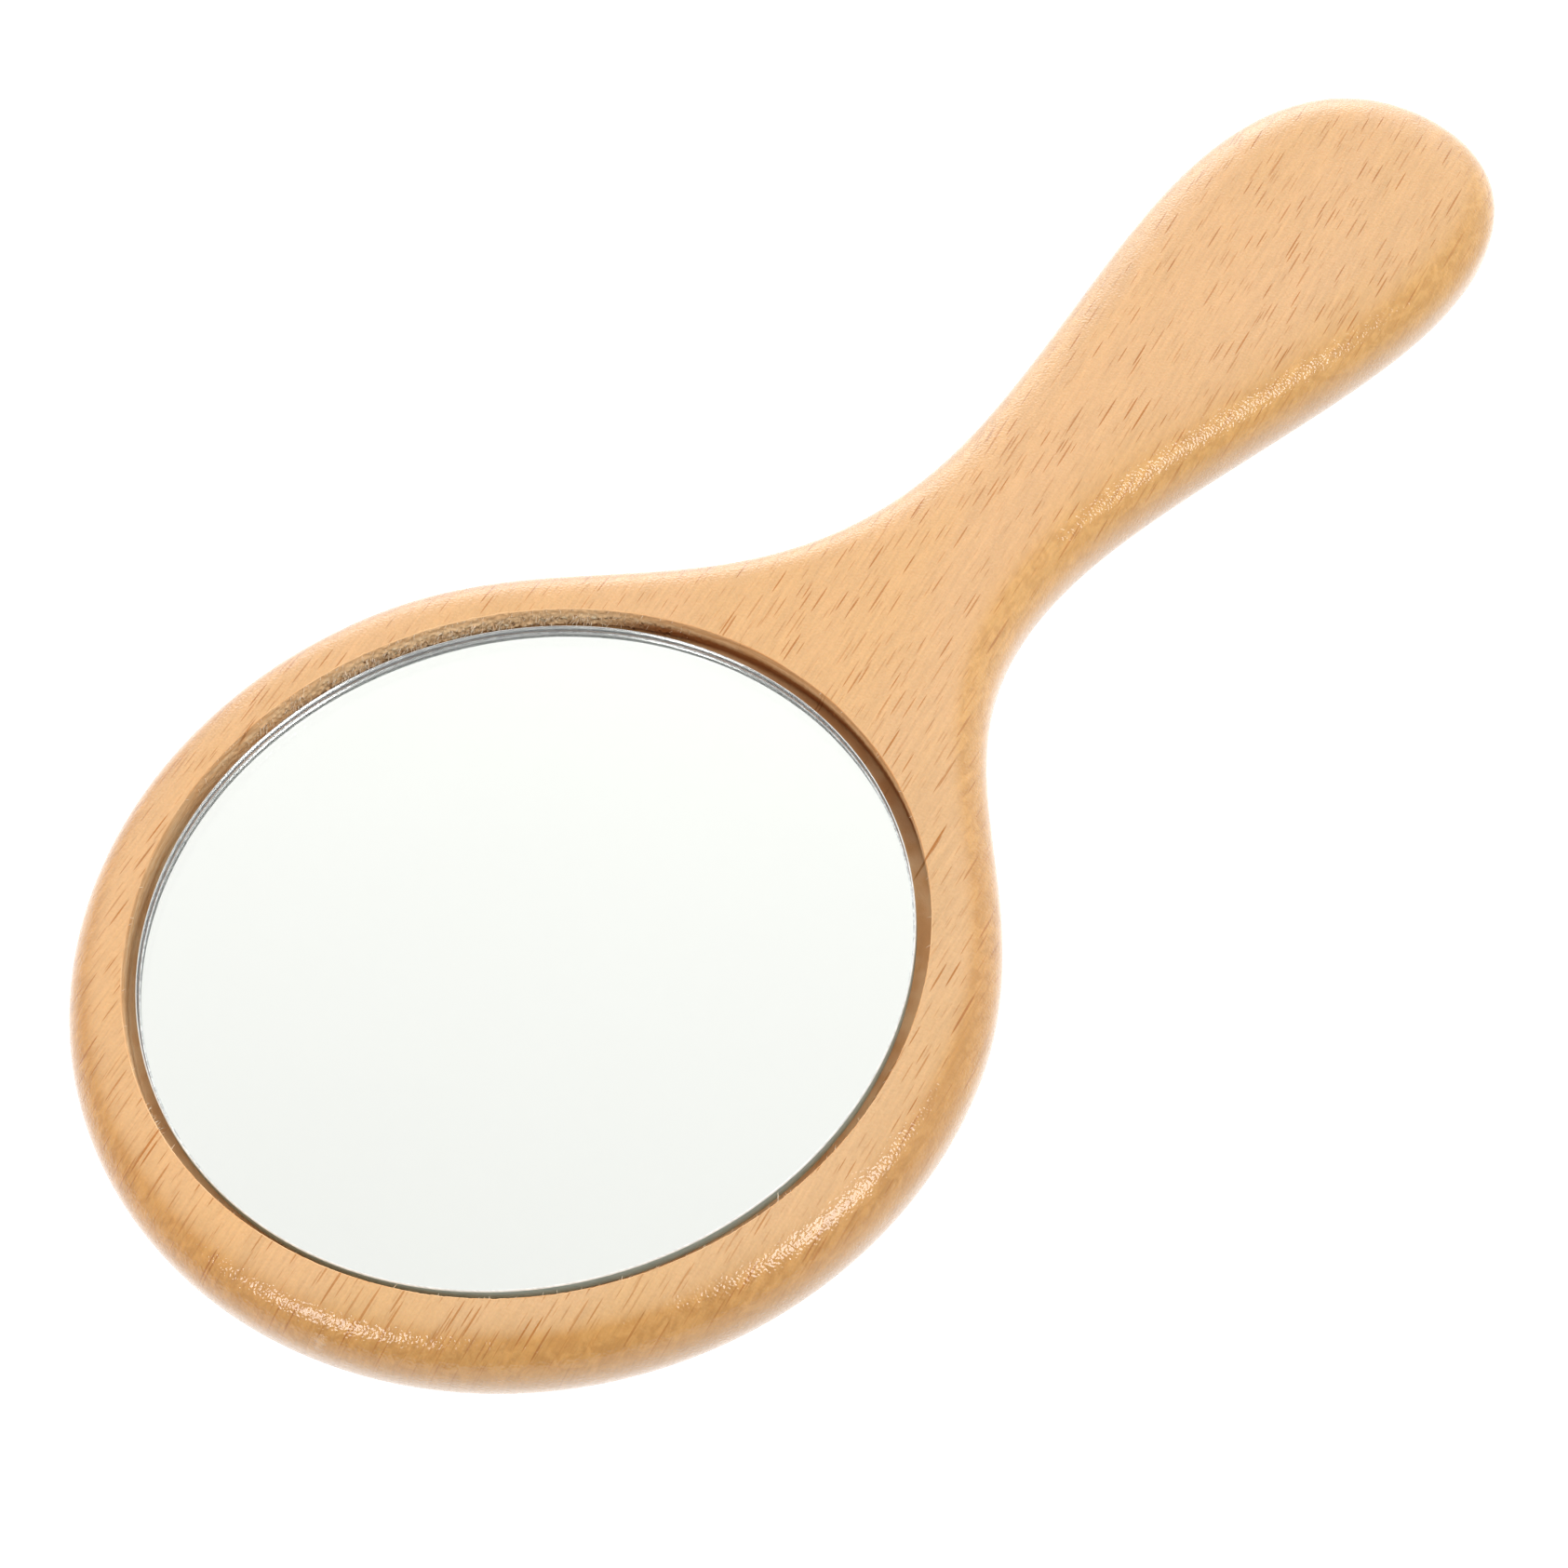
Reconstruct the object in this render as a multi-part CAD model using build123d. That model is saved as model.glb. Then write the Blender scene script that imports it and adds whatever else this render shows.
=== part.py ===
"""Hand mirror: one-piece beech paddle with a round glass mirror let into its head.

Frame: the mirror lies on its back. +Z is the mirror's normal, +Y runs along the handle, and the
origin is on the back face, under the centre of the mirror recess.
"""
from build123d import *
import math
import os

# ---- Wooden body: outline seen from the front, all in millimetres ----
BODY_THICKNESS = 16.0
HEAD_RADIUS = 58.4
HEAD_CENTRE_Y = 0.7           # the head's circle sits a little towards the handle from the recess
SHOULDER_ANGLE = 21.6         # degrees above +X where the head circle runs out into the shoulder
NECK_HALF_WIDTH = 12.6
NECK_Y = 90.2                 # narrowest place of the neck
GRIP_HALF_WIDTH = 21.9
GRIP_Y = 155.2                # widest place of the grip
HANDLE_END_Y = 183.1

# How far each curve keeps its end direction before it bends away (Bezier handle lengths)
SHOULDER_PULL = 30.4
NECK_PULL_HEAD_SIDE = 37.5
NECK_PULL_GRIP_SIDE = 19.6
GRIP_PULL_NECK_SIDE = 19.0
GRIP_PULL_END_SIDE = 25.2
END_PULL = 6.5

# ---- Edge rounding of the body ----
FRONT_ROUNDING = 5.8
BACK_ROUNDING = 10.0
RECESS_LIP_ROUNDING = 0.3

# ---- Recess, glass and what lies under it ----
RECESS_RADIUS = 50.0
GLASS_RADIUS = 48.3
GLASS_SLIP_Y = -0.3           # the glass was stuck down slightly off the recess centre
GLASS_BELOW_FACE = 0.9        # from the wood's front face down to the glass
GLASS_THICKNESS = 2.0
GLASS_SEAM = 0.25             # ground arris on both rims of the glass
SILVER_THICKNESS = 0.02
PAINT_THICKNESS = 0.06
COAT_EDGE_MARGIN = 0.4        # the coats stop short of the ground arris
PAD_THICKNESS = 0.62
PAD_LENGTH = 24.0
PAD_WIDTH = 12.0
PAD_CORNER_RADIUS = 2.0
PAD_COUNT = 4
PAD_RING_RADIUS = 27.0
FIRST_PAD_ANGLE = 45.0        # degrees; the pads stand clear of the handle's centre line

CUT_PAST = 1.0                # how far a cutting tool stands out of the wood

# ---- Heights worked out from the sizes above ----
GLASS_TOP_Z = BODY_THICKNESS - GLASS_BELOW_FACE
GLASS_BACK_Z = GLASS_TOP_Z - GLASS_THICKNESS
SILVER_BACK_Z = GLASS_BACK_Z - SILVER_THICKNESS
PAINT_BACK_Z = SILVER_BACK_Z - PAINT_THICKNESS
RECESS_FLOOR_Z = PAINT_BACK_Z - PAD_THICKNESS
COAT_RADIUS = GLASS_RADIUS - COAT_EDGE_MARGIN
GLASS_CENTRE = (0, GLASS_SLIP_Y)


def disc(radius, low_z, high_z, centre=(0, 0)):
    """Upright disc between two heights."""
    thickness = high_z - low_z
    middle = Pos(centre[0], centre[1], low_z + thickness / 2)
    return middle * Cylinder(radius, thickness)


def half_outline():
    """Edges of the +X half, from the bottom of the head round to the end of the handle."""
    angle = math.radians(SHOULDER_ANGLE)
    shoulder = Vector(
        HEAD_RADIUS * math.cos(angle),
        HEAD_CENTRE_Y + HEAD_RADIUS * math.sin(angle),
    )
    shoulder_direction = Vector(-math.sin(angle), math.cos(angle))
    neck = Vector(NECK_HALF_WIDTH, NECK_Y)
    grip = Vector(GRIP_HALF_WIDTH, GRIP_Y)
    end = Vector(0, HANDLE_END_Y)
    along = Vector(0, 1)
    across = Vector(1, 0)

    head_arc = CenterArc((0, HEAD_CENTRE_Y), HEAD_RADIUS, -90, 90 + SHOULDER_ANGLE)
    shoulder_curve = Bezier(
        shoulder,
        shoulder + shoulder_direction * SHOULDER_PULL,
        neck - along * NECK_PULL_HEAD_SIDE,
        neck,
    )
    grip_curve = Bezier(
        neck,
        neck + along * NECK_PULL_GRIP_SIDE,
        grip - along * GRIP_PULL_NECK_SIDE,
        grip,
    )
    end_curve = Bezier(
        grip,
        grip + along * GRIP_PULL_END_SIDE,
        end + across * END_PULL,
        end,
    )
    return [head_arc, shoulder_curve, grip_curve, end_curve]


def body_outline():
    """Closed outline face: the half outline and its mirror image."""
    right_edges = half_outline()
    left_edges = [mirror(edge, about=Plane.YZ) for edge in right_edges]
    return make_face(right_edges + left_edges)


def wood_body():
    """Board cut to the outline, rounded over front and back, with the recess sunk into the head."""
    board = extrude(body_outline(), amount=BODY_THICKNESS)
    front_edges = board.faces().sort_by(Axis.Z)[-1].edges()
    board = fillet(front_edges, radius=FRONT_ROUNDING)
    back_edges = board.faces().sort_by(Axis.Z)[0].edges()
    board = fillet(back_edges, radius=BACK_ROUNDING)
    body = board - disc(RECESS_RADIUS, RECESS_FLOOR_Z, BODY_THICKNESS + CUT_PAST)
    front_face = body.faces().sort_by(Axis.Z)[-1]
    lip = front_face.edges().filter_by(GeomType.CIRCLE).sort_by(SortBy.RADIUS)[0]
    return fillet(lip, radius=RECESS_LIP_ROUNDING)


def mirror_glass():
    """Flat glass disc with a small ground arris on both rims."""
    glass = disc(GLASS_RADIUS, GLASS_BACK_Z, GLASS_TOP_Z, GLASS_CENTRE)
    rims = glass.edges().filter_by(GeomType.CIRCLE)
    return chamfer(rims, length=GLASS_SEAM)


def silver_film():
    """Reflecting metal coat on the back of the glass."""
    return disc(COAT_RADIUS, SILVER_BACK_Z, GLASS_BACK_Z, GLASS_CENTRE)


def backing_paint():
    """Protective paint over the metal coat."""
    return disc(COAT_RADIUS, PAINT_BACK_Z, SILVER_BACK_Z, GLASS_CENTRE)


def adhesive_pads():
    """Double-sided foam pads in a ring between the painted glass and the recess floor."""
    shape = RectangleRounded(PAD_WIDTH, PAD_LENGTH, PAD_CORNER_RADIUS)
    pad = Pos(0, 0, RECESS_FLOOR_Z) * extrude(shape, amount=PAD_THICKNESS)
    ring = PolarLocations(PAD_RING_RADIUS, PAD_COUNT, start_angle=FIRST_PAD_ANGLE)
    return Compound(children=[spot * pad for spot in ring])


NODES = {
    "wood_body": wood_body,
    "mirror_glass": mirror_glass,
    "silver_film": silver_film,
    "backing_paint": backing_paint,
    "adhesive_pads": adhesive_pads,
}

os.makedirs("parts", exist_ok=True)
for name, build in NODES.items():
    export_step(build(), f"parts/{name}.step")
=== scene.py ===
"""Looks of the beech hand mirror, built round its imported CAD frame.

The mirror lies on its back: +Z is the mirror's normal and +Y runs along the handle. Lengths are in
metres, so a number times MM is a length in millimetres.
"""

import math

import bmesh
import bpy
import numpy as np
from mathutils import Matrix, Vector, geometry, noise


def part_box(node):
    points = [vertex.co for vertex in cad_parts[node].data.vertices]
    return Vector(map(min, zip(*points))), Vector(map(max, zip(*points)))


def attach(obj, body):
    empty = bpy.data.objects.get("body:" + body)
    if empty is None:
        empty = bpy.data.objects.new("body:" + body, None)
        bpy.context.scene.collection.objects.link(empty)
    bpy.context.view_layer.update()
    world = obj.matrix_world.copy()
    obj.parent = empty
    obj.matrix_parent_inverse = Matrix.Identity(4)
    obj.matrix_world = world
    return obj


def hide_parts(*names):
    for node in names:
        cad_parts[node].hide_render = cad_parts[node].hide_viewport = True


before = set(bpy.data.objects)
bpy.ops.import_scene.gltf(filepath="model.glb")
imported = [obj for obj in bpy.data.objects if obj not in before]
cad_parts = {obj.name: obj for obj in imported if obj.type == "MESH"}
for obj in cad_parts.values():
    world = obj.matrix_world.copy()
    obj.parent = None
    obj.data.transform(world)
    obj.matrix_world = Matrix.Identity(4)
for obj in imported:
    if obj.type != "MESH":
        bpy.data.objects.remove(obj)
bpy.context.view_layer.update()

MM = 0.001
BODY = "root"
FULL_TURN = 2 * math.pi
RANDOM_SEED = 11

# ---- Places read from the CAD ----
WOOD_LOW, WOOD_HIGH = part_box("wood_body")
GLASS_LOW, GLASS_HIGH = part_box("mirror_glass")
PAD_LOW, PAD_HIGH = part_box("adhesive_pads")
FACE_Z = WOOD_HIGH.z
FLOOR_Z = PAD_LOW.z
GLASS_RADIUS = (GLASS_HIGH.x - GLASS_LOW.x) / 2
GLASS_CENTRE = ((GLASS_HIGH + GLASS_LOW) / 2).xy

# ---- Shape of the wood: close to the CAD's roundings, but softer on the grip ----
FRONT_DEPTH = 6.0 * MM        # how far the front rounding comes down the side
FRONT_REACH_HEAD = 7.2 * MM   # how far it comes in over the face, round the mirror
FRONT_REACH_GRIP = 10.5 * MM  # and on the grip
FRONT_SQUARENESS = 2.25       # superellipse exponent; 2 is a plain ellipse
BACK_ROUNDING = 10.0 * MM
NECK_START_Y = 60.0 * MM      # the grip's softer rounding blends in between these
NECK_END_Y = 100.0 * MM
RECESS_RADIUS = 50.0 * MM
LIP_ROUNDING = 0.12 * MM
LACQUERED, RAW, FRAYED = range(3)   # material slots of the wooden body

# ---- Direction of the grain: fibres, and the rays that cross the board ----
FIBRE = Vector((-0.25, 0.968, 0.0)).normalized()
RAY = Vector((0.308, 0.08, 0.948)).normalized()
ACROSS = FIBRE.cross(RAY).normalized()

rng = np.random.default_rng(RANDOM_SEED)


def random_mm(low, high):
    """Random length between two sizes given in millimetres."""
    return rng.uniform(low, high) * MM


def wrap(angle):
    """The same angle between -pi and pi."""
    return (angle + math.pi) % FULL_TURN - math.pi


# ======================================================================= mesh helpers
EDGE_CLEARANCE = 0.6          # of the spacing: how near a flat face's inner points come to its edge
SAME_POINT = 1e-7             # distance below which two points are one


class Shell:
    """Vertices and faces gathered ring by ring, then made into one Blender mesh."""

    def __init__(self):
        self.points = []
        self.faces = []
        self.materials = []
        self.smooth = []

    def add_points(self, points):
        """Indices of the points added."""
        first = len(self.points)
        self.points.extend(tuple(map(float, point)) for point in points)
        return list(range(first, len(self.points)))

    def add_face(self, corners, material=0, smooth=True):
        self.faces.append(tuple(corners))
        self.materials.append(material)
        self.smooth.append(smooth)

    def join_rings(self, upper, lower, material=0):
        """Quads between two closed rings of equal length, facing outwards when upper is above."""
        count = len(upper)
        for i in range(count):
            j = (i + 1) % count
            self.add_face((upper[i], lower[i], lower[j], upper[j]), material)

    def fill_flat(self, outer, inner, spacing, facing_up, material=0):
        """Even triangles over a flat region between an outer ring and, if given, an inner ring."""
        outline = np.array([self.points[i][:2] for i in outer])
        hole = np.array([self.points[i][:2] for i in inner]) if inner else np.empty((0, 2))
        z = self.points[outer[0]][2]
        added = self.add_points([(x, y, z) for x, y in lattice(outline, hole, spacing)])
        index = list(outer) + list(inner or []) + added
        coords = [Vector(self.points[i][:2]) / spacing for i in index]
        edges = ring_edges(0, len(outer))
        if inner:
            edges += ring_edges(len(outer), len(inner))
        verts, _, faces, origin, _, _ = geometry.delaunay_2d_cdt(coords, edges, [], 0, SAME_POINT)
        corners = [[verts[k][:2] for k in face] for face in faces]
        centres = np.mean(corners, axis=1) * spacing
        keep = in_polygon(centres, outline)
        if inner:
            keep &= ~in_polygon(centres, hole)
        for face, wanted in zip(faces, keep):
            if not wanted:
                continue
            turned = face if facing_up else face[::-1]
            self.add_face([index[origin[k][0]] for k in turned], material, smooth=False)

    def to_object(self, name, materials):
        mesh = bpy.data.meshes.new(name)
        mesh.from_pydata(self.points, [], self.faces)
        mesh.polygons.foreach_set("material_index", self.materials)
        mesh.polygons.foreach_set("use_smooth", self.smooth)
        mesh.validate()
        mesh.update()
        piece = bpy.data.objects.new(name, mesh)
        for material in materials:
            mesh.materials.append(material)
        bpy.context.scene.collection.objects.link(piece)
        return piece


def ring_edges(first, count):
    return [(first + i, first + (i + 1) % count) for i in range(count)]


def in_polygon(points, polygon):
    """Even-odd test of many points against one closed polygon."""
    x, y = points[:, 0][:, None], points[:, 1][:, None]
    ax, ay = polygon[:, 0], polygon[:, 1]
    bx, by = np.roll(ax, -1), np.roll(ay, -1)
    spans = (ay > y) != (by > y)
    rise = np.where(by == ay, 1.0, by - ay)
    crossing = x < (bx - ax) * (y - ay) / rise + ax
    return (spans & crossing).sum(1) % 2 == 1


def lattice(outline, hole, spacing):
    """Triangular lattice of points inside an outline, clear of its edge and of the hole."""
    low, high = outline.min(0), outline.max(0)
    row_height = spacing * math.sqrt(3) / 2
    rows = []
    for k, y in enumerate(np.arange(low[1], high[1], row_height)):
        x = np.arange(low[0] + (k % 2) * spacing / 2, high[0], spacing)
        rows.append(np.column_stack([x, np.full(len(x), y)]))
    points = np.vstack(rows)
    keep = in_polygon(points, outline)
    if len(hole):
        keep &= ~in_polygon(points, hole)
    points = points[keep]
    boundary = np.vstack([outline, hole])
    gap = np.array([np.hypot(*(boundary - point).T).min() for point in points])
    return points[gap > EDGE_CLEARANCE * spacing]


# ======================================================================= outline of the wood
OUTLINE_COUNT = 1100
SMOOTH_WAVES = 70             # waves round the outline that are kept; finer ones are facets
FRONT_STEPS = 25              # rings down the front rounding
BACK_STEPS = 18               # and down the back rounding
SECTION_Z = BACK_ROUNDING + 0.1 * MM   # a height at which the CAD's side is upright


def section(node, z):
    """Points where a CAD node's mesh crosses height z, in order round its single closed loop."""
    bm = bmesh.new()
    bm.from_mesh(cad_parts[node].data)
    bmesh.ops.remove_doubles(bm, verts=bm.verts, dist=SAME_POINT)
    everything = bm.verts[:] + bm.edges[:] + bm.faces[:]
    bmesh.ops.bisect_plane(
        bm, geom=everything, plane_co=(0, 0, z), plane_no=(0, 0, 1),
        clear_inner=True, clear_outer=True,
    )
    start = min(bm.verts, key=lambda v: v.co.y)
    loop, previous, here = [start.co.copy()], None, start
    while True:
        neighbours = [edge.other_vert(here) for edge in here.link_edges]
        following = [vert for vert in neighbours if vert is not previous]
        if not following or following[0] is start:
            break
        previous, here = here, following[0]
        loop.append(here.co.copy())
    bm.free()
    return np.array([point[:2] for point in loop])


def as_pairs(values):
    """X and Y columns of complex numbers."""
    return np.column_stack([values.real, values.imag])


def smooth_outline(loop, count):
    """Evenly spaced points and outward normals on a smooth closed curve through the loop."""
    area = np.sum(loop[:, 0] * np.roll(loop[:, 1], -1) - loop[:, 1] * np.roll(loop[:, 0], -1))
    if area < 0:
        loop = loop[::-1]
    closed = np.vstack([loop, loop[:1]])
    walked = np.r_[0, np.cumsum(np.hypot(*np.diff(closed, axis=0).T))]
    at = np.linspace(0, walked[-1], count, endpoint=False)
    curve = np.interp(at, walked, closed[:, 0]) + 1j * np.interp(at, walked, closed[:, 1])
    waves = np.fft.fftfreq(count, 1 / count)
    spectrum = np.fft.fft(curve) * np.exp(-((waves / SMOOTH_WAVES) ** 4))
    direction = np.fft.ifft(spectrum * 1j * waves)
    normal = -1j * direction / np.abs(direction)
    return as_pairs(np.fft.ifft(spectrum)), as_pairs(normal)


def side_rings(outline, normal):
    """Rings of points down the side, from the edge of the flat front to that of the flat back."""
    blend = np.clip((outline[:, 1] - NECK_START_Y) / (NECK_END_Y - NECK_START_Y), 0, 1)
    blend = blend * blend * (3 - 2 * blend)
    reach = FRONT_REACH_HEAD + (FRONT_REACH_GRIP - FRONT_REACH_HEAD) * blend
    power = 2 / FRONT_SQUARENESS
    levels = []
    for angle in np.radians(np.linspace(0, 90, FRONT_STEPS)):
        inset = reach * (1 - math.sin(angle) ** power)
        z = FACE_Z - FRONT_DEPTH * (1 - max(0.0, math.cos(angle)) ** power)
        levels.append((inset, z))
    for angle in np.radians(np.linspace(0, 90, BACK_STEPS))[1:]:
        inset = BACK_ROUNDING * (1 - math.cos(angle)) * np.ones(len(outline))
        levels.append((inset, BACK_ROUNDING * (1 - math.sin(angle))))
    return [
        np.column_stack([outline - normal * inset[:, None], np.full(len(outline), z)])
        for inset, z in levels
    ]


# ======================================================================= recess in the wood
RECESS_COUNT = 1800
LIP_TURNS = (0, 30, 60, 90)   # degrees round the lip, from the face to the wall
WALL_STEPS = 19
WALL_FOOT_Z = FLOOR_Z + 0.25 * MM
CORNER_INSET = 0.08 * MM      # the cutter's rounded corner between wall and floor
CORNER_Z = FLOOR_Z + 0.07 * MM
FLOOR_INSET = 0.25 * MM
FACE_SPACING = 2.0 * MM       # size of the triangles on the flat front
HIDDEN_SPACING = 3.0 * MM     # and on the back and the recess floor

# The cutter's circle is left a little tight where it met the end of the board
TIGHT_ANGLE = math.radians(-76)
TIGHT_SPREAD = math.radians(29)
TIGHT_BY = 0.50 * MM

# How badly the wall is torn: worst where the cutter ran against the grain, less so opposite
TORN_ANGLE = math.radians(152)
TORN_REACH = 0.82             # radians to either side
TORN_NARROWING = 1.9          # brings a cosine's zero to that reach
OPPOSITE_REACH = 0.95
OPPOSITE_NARROWING = 1.6
OPPOSITE_TEAR = 0.45
LEAST_TEAR = 0.18

# Lumps: torn bundles of fibres
LUMP_LENGTH = 1.6 * MM
LUMP_WIDTH = 0.45 * MM
LUMP_HEIGHT = 0.7 * MM
LUMP_PUSH = 0.035 * MM        # where the cut is clean
LUMP_PUSH_TORN = 0.16 * MM    # added at full tear
# Chips: hollows where a piece of wood came away
CHIPS_ROUND = 23              # per radian
CHIP_HEIGHT = 1.4 * MM
CHIP_LEAST = 0.1
CHIP_PUSH = 0.20 * MM
# Crumbs: end grain crushed to specks on the lower part of the wall
CRUMB_SIZE = 0.42 * MM
CRUMB_PUSH = 0.40 * MM
CRUMB_LEAST_TEAR = 0.3
CRUMB_TOP_Z = FACE_Z - 0.7 * MM
CRUMB_FADE = 1.0 * MM
# Nicks in the lip
NICKS_ROUND = 60              # per radian
FINE_NICKS_ROUND = 170
FINE_NICKS_SHARE = 0.6
NICK_LEAST = 0.05
NICK_SIZE = 0.01 * MM
NICK_SIZE_TORN = 0.30 * MM
# Fixed coordinates that tell one noise from another
CHIP_SEED = 3.7
CRUMB_SEED = 6.1
NICK_SEED = (0.3, 8.1)
FINE_NICK_SEED = (2.3, 1.1)


def swell(off, reach, narrowing):
    """1 in the middle of a damaged stretch of wall, falling to 0 at its reach on either side."""
    return max(0.0, math.cos(off * narrowing)) if abs(off) < reach else 0.0


def tear_out(angle):
    """How badly the cutter tore the wall at this angle round the recess, 0 to 1."""
    worst = swell(wrap(angle - TORN_ANGLE), TORN_REACH, TORN_NARROWING)
    opposite = swell(wrap(angle - TORN_ANGLE - math.pi), OPPOSITE_REACH, OPPOSITE_NARROWING)
    return min(1.0, LEAST_TEAR + worst + OPPOSITE_TEAR * opposite)


def recess_radius(angle):
    off = wrap(angle - TIGHT_ANGLE) / TIGHT_SPREAD
    return RECESS_RADIUS - TIGHT_BY * math.exp(-off * off)


def recess_point(angle, radius, z):
    return radius * math.cos(angle), radius * math.sin(angle), z


def lip_point(angle, turn):
    """Point of the recess lip, nicked where the grain tore; turn runs from the face to the wall."""
    ragged = noise.noise(Vector((angle * NICKS_ROUND, *NICK_SEED)))
    fine = noise.noise(Vector((angle * FINE_NICKS_ROUND, *FINE_NICK_SEED)))
    ragged += FINE_NICKS_SHARE * fine
    nick = max(0.0, ragged - NICK_LEAST) * (NICK_SIZE + NICK_SIZE_TORN * tear_out(angle))
    radius = recess_radius(angle) + (LIP_ROUNDING + nick) * (1 - math.sin(turn))
    radius += nick * 0.5 * math.sin(turn)
    z = FACE_Z - (LIP_ROUNDING + nick * 0.6) * (1 - math.cos(turn))
    return recess_point(angle, radius, z)


def wall_point(angle, z):
    """Point of the recess wall, pushed in and out by lumps, chips and crumbs."""
    tear = tear_out(angle)
    radius = recess_radius(angle)
    place = Vector((math.cos(angle), math.sin(angle), 0)) * radius
    place.z = z
    along = place.dot(FIBRE) / LUMP_LENGTH
    across = place.dot(ACROSS) / LUMP_WIDTH
    lumps = noise.fractal(Vector((along, across, z / LUMP_HEIGHT)), 0.8, 2.0, 4)
    chips = noise.noise(Vector((angle * CHIPS_ROUND, z / CHIP_HEIGHT, CHIP_SEED)))
    crumbs = noise.noise(Vector((angle * radius / CRUMB_SIZE, z / CRUMB_SIZE, CRUMB_SEED)))
    low_down = min(1.0, max(0.0, (CRUMB_TOP_Z - z) / CRUMB_FADE))
    push = (LUMP_PUSH + LUMP_PUSH_TORN * tear) * lumps
    push += CHIP_PUSH * tear * max(0.0, chips - CHIP_LEAST)
    push += CRUMB_PUSH * max(0.0, tear - CRUMB_LEAST_TEAR) * low_down * crumbs
    return recess_point(angle, radius + push, z)


# ======================================================================= torn fibres
WALL_FIBRE_TRIES = 1500
LIP_FIBRE_TRIES = 260
CLUSTER_ANGLES = (127, 133, 140, 144, 148, 153, 157, 160, 163, 166, 173, 179, -109)   # degrees
CLUSTER_SIZE = (14, 32)
CLUSTER_SPREAD = 0.020        # radians
LONG_FIBRE_ANGLES = (-8, -62, -102, -133, 171, 16)   # degrees
LIP_FIBRE_Z = FACE_Z - 0.12 * MM
ROOT_DEPTH = 0.08 * MM        # how far a fibre's root lies inside the wood
FIBRE_STEPS = (0.0, 0.4, 0.75)   # places of its three rings, as shares of its length
FIBRE_TAPER = 0.7
ALONG_GRAIN = 0.8             # how strongly a fibre follows the grain
INTO_RECESS = (0.2, 0.9)      # and how strongly it stands off the wall
FIBRE_SCATTER = 0.35          # spread of its direction and of its bend
LEAST_FRAYED = 0.2            # tear below which the wall has no loose fibres
LONG_FIBRE_THICKNESS = 0.06 * MM
FIBRE_CORNERS = (0, FULL_TURN / 3, 2 * FULL_TURN / 3)


def add_fibres(shell):
    """Fine torn fibres standing off the wall and the lip, along the grain."""
    for _ in range(WALL_FIBRE_TRIES):
        angle = rng.uniform(0, FULL_TURN)
        if rng.uniform() > max(0.0, tear_out(angle) - LEAST_FRAYED) ** 1.1:
            continue
        z = FACE_Z - random_mm(0.15, 2.9)
        fibre(shell, angle, z, random_mm(0.25, 0.9), random_mm(0.025, 0.05))
    for middle in np.radians(CLUSTER_ANGLES):
        for _ in range(rng.integers(*CLUSTER_SIZE)):
            angle = middle + rng.normal(0, CLUSTER_SPREAD)
            z = FACE_Z - random_mm(1.3, 3.0)
            fibre(shell, angle, z, random_mm(0.4, 1.1), random_mm(0.05, 0.11))
    for _ in range(LIP_FIBRE_TRIES):
        angle = rng.uniform(0, FULL_TURN)
        if rng.uniform() > tear_out(angle):
            continue
        fibre(shell, angle, LIP_FIBRE_Z, random_mm(0.3, 0.8), random_mm(0.03, 0.05))
    for angle in np.radians(LONG_FIBRE_ANGLES):
        fibre(shell, angle, LIP_FIBRE_Z, random_mm(1.1, 1.9), LONG_FIBRE_THICKNESS)


def fibre_direction(inward):
    """Into the recess, mostly along the grain and nearly level."""
    along = FIBRE.copy()
    if along.dot(inward) < 0:
        along.negate()
    direction = along * ALONG_GRAIN + inward * rng.uniform(*INTO_RECESS)
    direction += Vector(rng.normal(0, FIBRE_SCATTER, 3))
    direction.z = abs(direction.z) * 0.3 - 0.1
    return direction.normalized()


def fibre(shell, angle, z, length, thickness):
    """One tapered sliver: a three-sided spike rooted in the wall and bent a little."""
    inward = Vector((-math.cos(angle), -math.sin(angle), 0))
    direction = fibre_direction(inward)
    bend = Vector(rng.normal(0, FIBRE_SCATTER, 3)) * length
    bend.z = min(bend.z, 0.0)
    root = -inward * (RECESS_RADIUS + ROOT_DEPTH)
    root.z = z
    side = direction.orthogonal().normalized()
    other = direction.cross(side)
    rings = []
    for step in FIBRE_STEPS:
        middle = root + direction * length * step + bend * step * step * 0.5
        width = thickness * (1 - FIBRE_TAPER * step)
        corners = [
            middle + (side * math.cos(turn) + other * math.sin(turn)) * width
            for turn in FIBRE_CORNERS
        ]
        for corner in corners:
            corner.z = min(corner.z, FACE_Z)
        rings.append(shell.add_points(corners))
    end = root + direction * length + bend * 0.5
    end.z = min(end.z, FACE_Z)
    tip = shell.add_points([end])[0]
    for lower, upper in zip(rings, rings[1:]):
        shell.join_rings(upper, lower, FRAYED)
    last = rings[-1]
    for i in range(3):
        shell.add_face((last[i], last[(i + 1) % 3], tip), FRAYED)
    shell.add_face(rings[0][::-1], FRAYED)


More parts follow.
